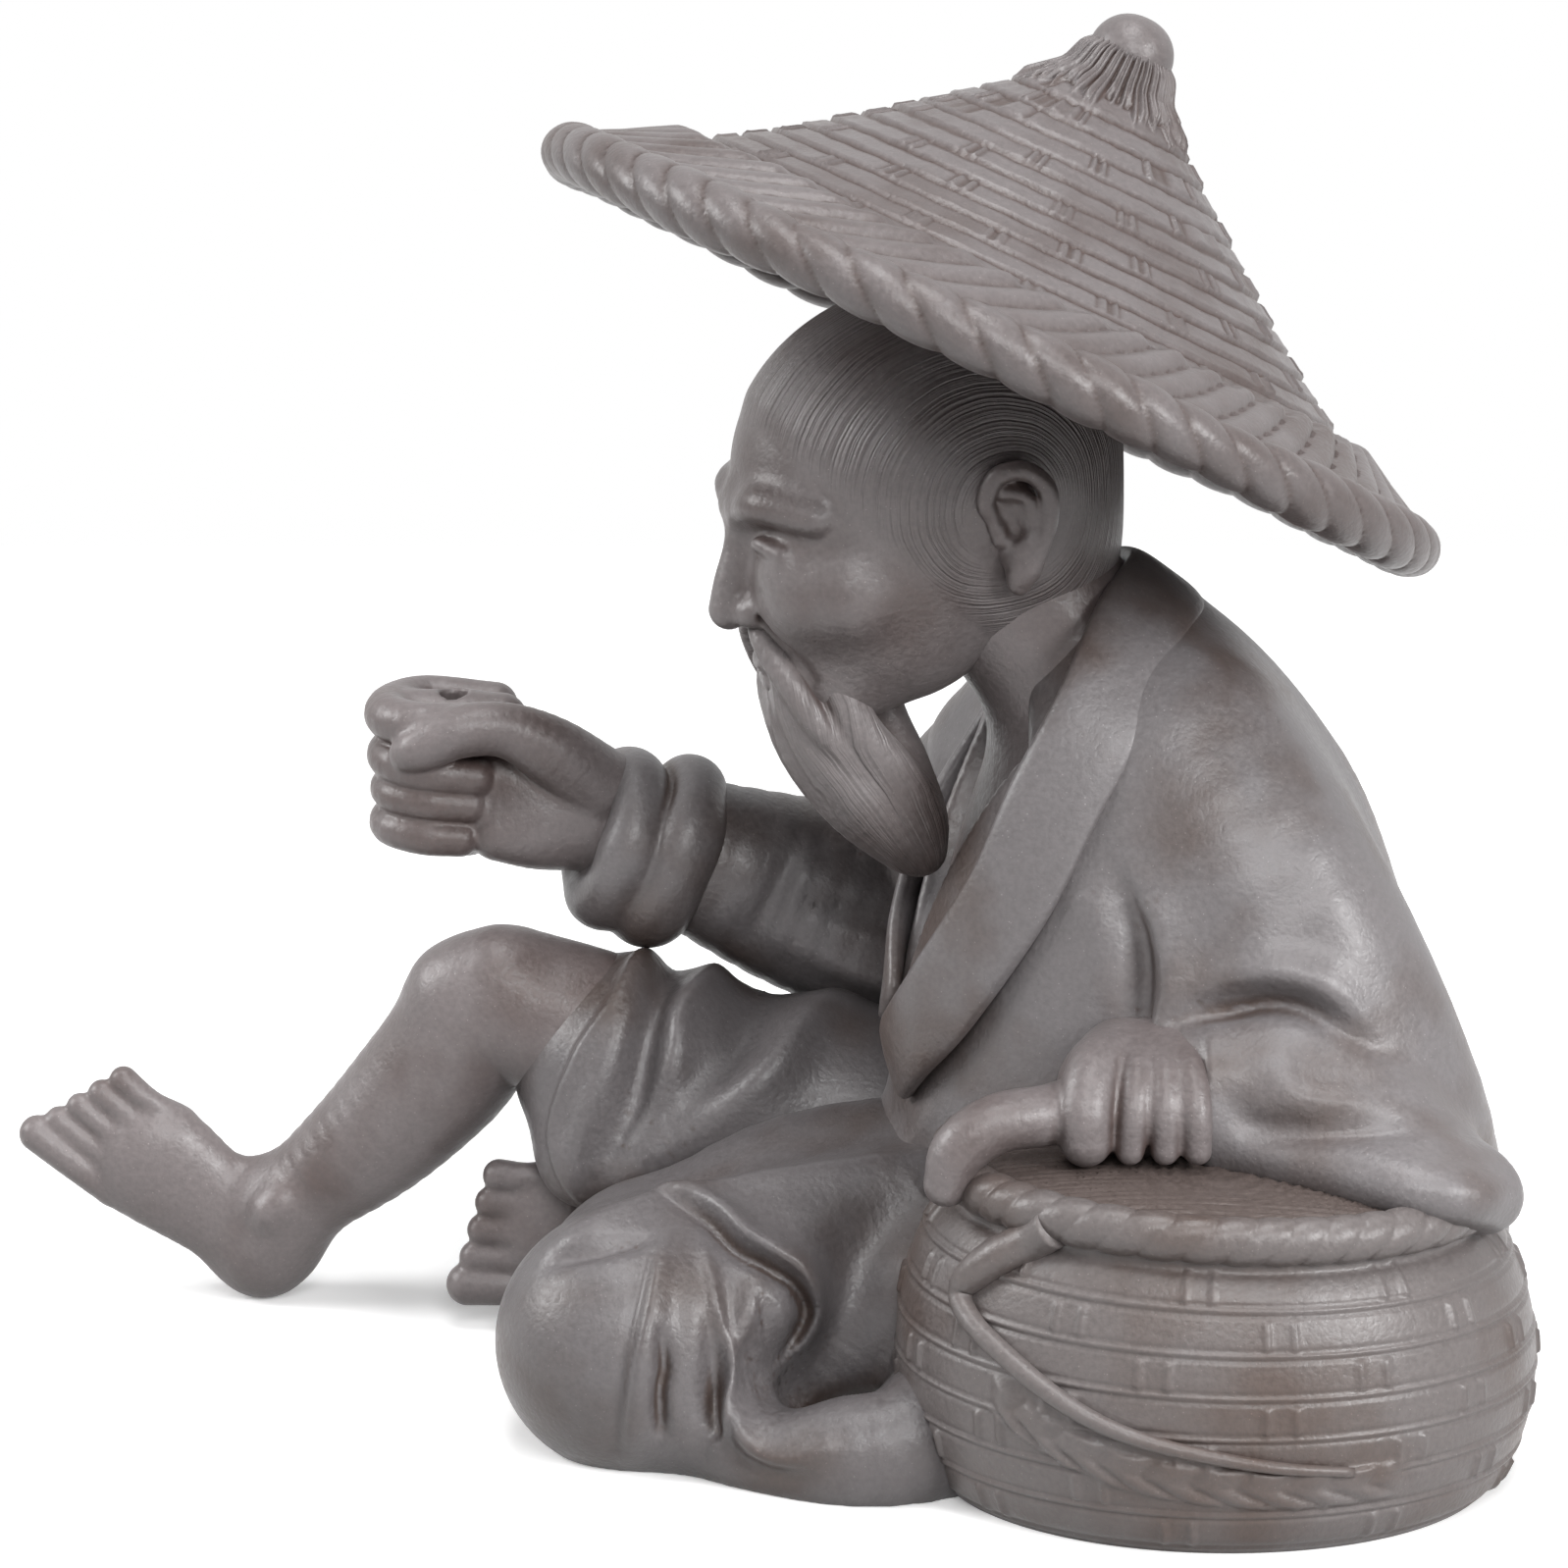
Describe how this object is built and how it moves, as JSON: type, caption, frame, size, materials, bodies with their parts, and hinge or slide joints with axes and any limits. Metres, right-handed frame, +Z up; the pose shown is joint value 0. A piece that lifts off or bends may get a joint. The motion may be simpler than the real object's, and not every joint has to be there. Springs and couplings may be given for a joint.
{
  "type": "seated fisherman figurine",
  "caption": "Small unglazed clay figurine of a seated old fisherman in a wide woven hat, one fist held out for a rod and one hand on a lidded basket.",
  "frame": {"origin": "on the table, under the middle of the robe", "axes": "+Z up; the figure faces -X, its left side is towards -Y"},
  "size_m": [0.1113, 0.076, 0.1021],
  "materials": {
    "robe_clay": "matte",
    "skin_clay": "matte",
    "hat_clay": "matte",
    "basket_clay": "matte"
  },
  "bodies": {
    "root": {"robe_body": "robe_clay", "collar_band": "robe_clay", "right_sleeve": "robe_clay", "right_cuff": "robe_clay", "right_trouser": "robe_clay", "left_trouser": "robe_clay", "neck_and_chest": "skin_clay", "head": "skin_clay", "left_ear": "skin_clay", "right_ear": "skin_clay", "beard": "skin_clay", "right_hand": "skin_clay", "left_hand": "skin_clay", "right_leg": "skin_clay", "left_foot": "skin_clay", "hat_cone": "hat_clay", "hat_rim": "hat_clay", "hat_knob": "hat_clay", "basket_body": "basket_clay", "basket_lid": "basket_clay", "basket_rim": "basket_clay", "basket_strap": "basket_clay"}
  },
  "joints": []
}
